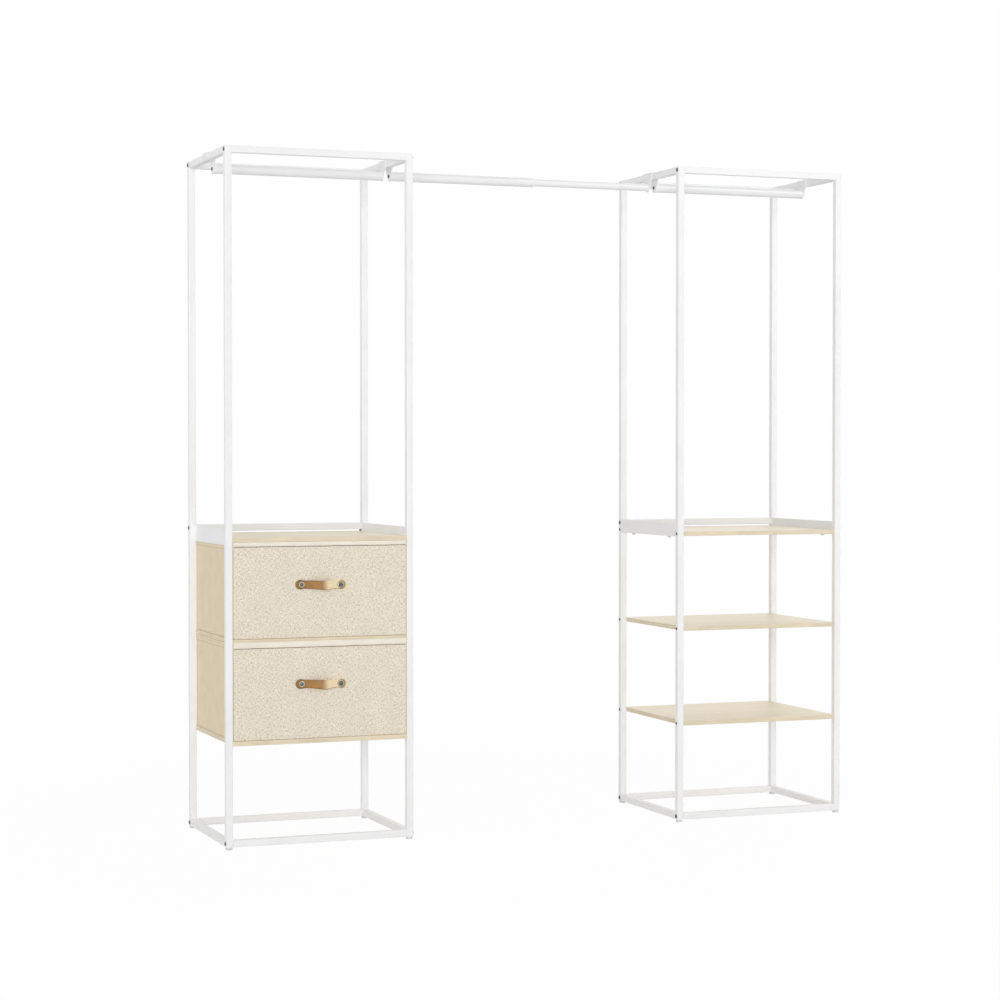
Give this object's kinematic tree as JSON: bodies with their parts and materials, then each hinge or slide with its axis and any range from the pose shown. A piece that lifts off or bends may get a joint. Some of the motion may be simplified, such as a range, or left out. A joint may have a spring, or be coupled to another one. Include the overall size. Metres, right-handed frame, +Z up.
{
  "type": "clothes rack",
  "caption": "Free-standing clothes rack: drawer tower and shelf tower of white square tube joined by a telescopic hanging rod.",
  "frame": {"origin": "on the floor, at the middle of the rack's width and depth, handles included", "axes": "+X to the right as seen from the front, +Y to the back, +Z up; the drawers face -Y"},
  "size_m": [1.7846, 0.4224, 1.8023],
  "materials": {
    "white_paint": "white powder coat, satin",
    "rod_paint": "white powder coat, satin",
    "bracket_paint": "white powder coat, satin",
    "foot_plastic": "moulded, matte",
    "pale_wood": "pale veneer, matt lacquer",
    "linen": "plain-woven natural linen",
    "fibre_board": "raw fibre board",
    "leather": "smooth tan strap leather",
    "dark_steel": "blackened steel screws",
    "screw_nickel": "polished nickel screw heads"
  },
  "bodies": {
    "left_tower": {"left_tower_front_left_post": "white_paint", "left_tower_front_left_foot": "foot_plastic", "left_tower_front_right_post": "white_paint", "left_tower_front_right_foot": "foot_plastic", "left_tower_front_top_rail": "white_paint", "left_tower_front_bottom_rail": "white_paint", "left_tower_back_left_post": "white_paint", "left_tower_back_left_foot": "foot_plastic", "left_tower_back_right_post": "white_paint", "left_tower_back_right_foot": "foot_plastic", "left_tower_back_top_rail": "white_paint", "left_tower_back_middle_rail": "white_paint", "left_tower_back_bottom_rail": "white_paint", "left_tower_left_side_top_rail": "white_paint", "left_tower_left_side_bottom_rail": "white_paint", "left_tower_left_guard": "white_paint", "left_tower_left_rod_bracket": "bracket_paint", "left_tower_right_side_top_rail": "white_paint", "left_tower_right_side_bottom_rail": "white_paint", "left_tower_right_guard": "white_paint", "left_tower_right_rod_bracket": "bracket_paint", "left_tower_upper_board": "pale_wood", "left_tower_middle_board": "pale_wood", "left_tower_lower_board": "pale_wood", "left_tower_hanging_rod": "rod_paint", "connecting_rod_outer_tube": "rod_paint"},
    "right_tower": {"right_tower_front_left_post": "white_paint", "right_tower_front_left_foot": "foot_plastic", "right_tower_front_right_post": "white_paint", "right_tower_front_right_foot": "foot_plastic", "right_tower_front_top_rail": "white_paint", "right_tower_front_bottom_rail": "white_paint", "right_tower_back_left_post": "white_paint", "right_tower_back_left_foot": "foot_plastic", "right_tower_back_right_post": "white_paint", "right_tower_back_right_foot": "foot_plastic", "right_tower_back_top_rail": "white_paint", "right_tower_back_middle_rail": "white_paint", "right_tower_back_bottom_rail": "white_paint", "right_tower_left_side_top_rail": "white_paint", "right_tower_left_side_bottom_rail": "white_paint", "right_tower_left_guard": "white_paint", "right_tower_left_rod_bracket": "bracket_paint", "right_tower_right_side_top_rail": "white_paint", "right_tower_right_side_bottom_rail": "white_paint", "right_tower_right_guard": "white_paint", "right_tower_right_rod_bracket": "bracket_paint", "right_tower_upper_board": "pale_wood", "right_tower_middle_board": "pale_wood", "right_tower_lower_board": "pale_wood", "right_tower_hanging_rod": "rod_paint", "connecting_rod_inner_tube": "rod_paint"},
    "upper_drawer": {"upper_drawer_fabric_box": "linen", "upper_drawer_front_panel": "fibre_board", "upper_drawer_base_board": "fibre_board", "upper_drawer_handle": "leather"},
    "lower_drawer": {"lower_drawer_fabric_box": "linen", "lower_drawer_front_panel": "fibre_board", "lower_drawer_base_board": "fibre_board", "lower_drawer_handle": "leather"}
  },
  "joints": [
    {"name": "telescopic_rod", "type": "slide", "parent": "left_tower", "child": "right_tower", "axis": [1, 0, 0], "range_m": [-0.32, 0.03]},
    {"name": "upper_drawer_slide", "type": "slide", "parent": "left_tower", "child": "upper_drawer", "axis": [0, -1, 0], "range_m": [0, 0.28]},
    {"name": "lower_drawer_slide", "type": "slide", "parent": "left_tower", "child": "lower_drawer", "axis": [0, -1, 0], "range_m": [0, 0.28]}
  ]
}
